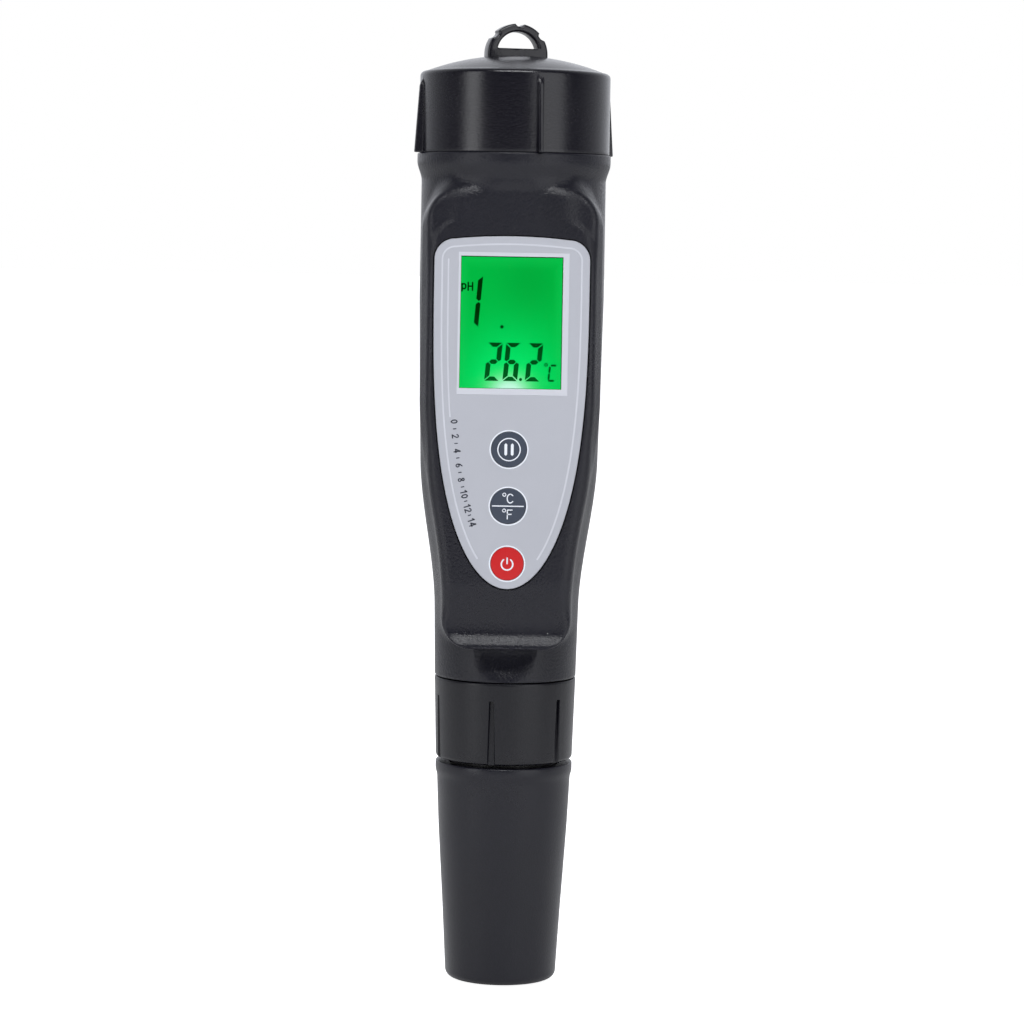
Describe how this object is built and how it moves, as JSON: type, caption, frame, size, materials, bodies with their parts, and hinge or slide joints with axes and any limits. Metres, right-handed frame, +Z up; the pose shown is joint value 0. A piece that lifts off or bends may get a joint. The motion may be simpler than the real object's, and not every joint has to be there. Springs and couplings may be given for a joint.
{
  "type": "pen-type ph meter",
  "caption": "Pen-type pH and temperature meter with lit display, keys, screw-on battery cap with lanyard loop, glass electrode under a screw collar, and a protective cap.",
  "frame": {"origin": "centre of the protective cap's flat base", "axes": "+Z up the pen from the protective cap to the lanyard loop, the display and keys face -Y, +X to the viewer's right"},
  "size_m": [0.0396, 0.0396, 0.188],
  "materials": {
    "housing_plastic": "fine moulded texture, charcoal",
    "cap_plastic": "satin gloss, charcoal",
    "overlay_film": "satin printed film, pale grey",
    "window": "clear polished",
    "lcd": "polished, green when lit",
    "light_guide": "frosted, green when lit",
    "lamp": "clear resin",
    "white_plastic": "moulded, off-white",
    "zebra": "matt silicone",
    "chassis_plastic": "moulded, dark grey",
    "circuit_board": "solder mask, green",
    "steel": "nickel plated",
    "package": "moulded epoxy, black",
    "plunger_plastic": "moulded, brown",
    "gold_plate": "gold plated",
    "seal_rubber": "matt black",
    "lead_insulation": "smooth red",
    "cell_steel": "nickel plated can",
    "key_blue": "satin blue-grey",
    "key_red": "satin red",
    "probe_plastic": "moulded black",
    "glass": "clear polished",
    "silver": "drawn silver wire",
    "ceramic": "porous white",
    "guard_plastic": "moulded, off-white",
    "collar_plastic": "semi-matt charcoal",
    "sleeve_plastic": "satin charcoal",
    "sponge": "open-cell sponge"
  },
  "bodies": {
    "housing": {"housing": "housing_plastic", "panel_overlay": "overlay_film", "display_lens": "window", "lcd_cell": "lcd", "light_guide": "light_guide", "backlight_led": "lamp", "lcd_tray": "white_plastic", "elastomer_strip": "zebra", "inner_chassis": "chassis_plastic", "main_board": "circuit_board", "board_screws": "steel", "hold_switch": "steel", "unit_switch": "steel", "power_switch": "steel", "processor_chip": "package", "amplifier_chip": "package", "crystal": "steel", "chip_resistors": "package", "positive_leaf": "gold_plate", "negative_leaf": "gold_plate", "battery_guide": "white_plastic", "neck_seal": "seal_rubber", "probe_socket": "package", "signal_leads": "lead_insulation"},
    "battery_carrier": {"battery_carrier": "white_plastic", "button_cells": "cell_steel", "positive_contact": "gold_plate", "negative_contact": "steel"},
    "battery_cap": {"battery_cap": "cap_plastic", "swivel_plate": "steel"},
    "hold_key": {"hold_key": "key_blue", "hold_plunger": "plunger_plastic"},
    "unit_key": {"unit_key": "key_blue", "unit_plunger": "plunger_plastic"},
    "power_key": {"power_key": "key_red", "power_plunger": "plunger_plastic"},
    "electrode": {"electrode_holder": "probe_plastic", "glass_stem": "glass", "ph_bulb": "glass", "reference_wire": "silver", "ceramic_junction": "ceramic", "temperature_sheath": "steel", "probe_guard": "guard_plastic", "pin_board": "circuit_board", "contact_pins": "gold_plate", "plug_seal": "seal_rubber", "barrel_seals": "seal_rubber"},
    "locking_collar": {"locking_collar": "collar_plastic"},
    "protective_cap": {"protective_cap": "sleeve_plastic", "storage_sponge": "sponge"}
  },
  "joints": [
    {"name": "cap_carrier_lift", "type": "slide", "parent": "housing", "child": "battery_carrier", "axis": [0, 0, 1], "range_m": [0, 0.008]},
    {"name": "battery_cap_turn", "type": "hinge", "parent": "battery_carrier", "child": "battery_cap", "pos_m": [0, 0, 0.1622], "axis": [0, 0, 1], "range_deg": [0, 720]},
    {"name": "electrode_drop", "type": "slide", "parent": "housing", "child": "electrode", "axis": [0, 0, -1], "range_m": [0, 0.01]},
    {"name": "collar_turn", "type": "hinge", "parent": "electrode", "child": "locking_collar", "pos_m": [0, 0, 0.0513], "axis": [0, 0, -1], "range_deg": [0, 900]},
    {"name": "protective_cap_pull", "type": "slide", "parent": "electrode", "child": "protective_cap", "axis": [0, 0, -1], "range_m": [0, 0.045]},
    {"name": "hold_key_press", "type": "slide", "parent": "housing", "child": "hold_key", "axis": [0, 1, 0], "range_m": [0, 0.0003], "stiffness_N_per_m": 500},
    {"name": "unit_key_press", "type": "slide", "parent": "housing", "child": "unit_key", "axis": [0, 1, 0], "range_m": [0, 0.0003], "stiffness_N_per_m": 500},
    {"name": "power_key_press", "type": "slide", "parent": "housing", "child": "power_key", "axis": [0, 1, 0], "range_m": [0, 0.0003], "stiffness_N_per_m": 500}
  ],
  "couplings": [
    {"joint": "battery_cap_turn", "follows": "cap_carrier_lift", "rad_per_m": 1570.8},
    {"joint": "collar_turn", "follows": "electrode_drop", "rad_per_m": 1570.8}
  ]
}
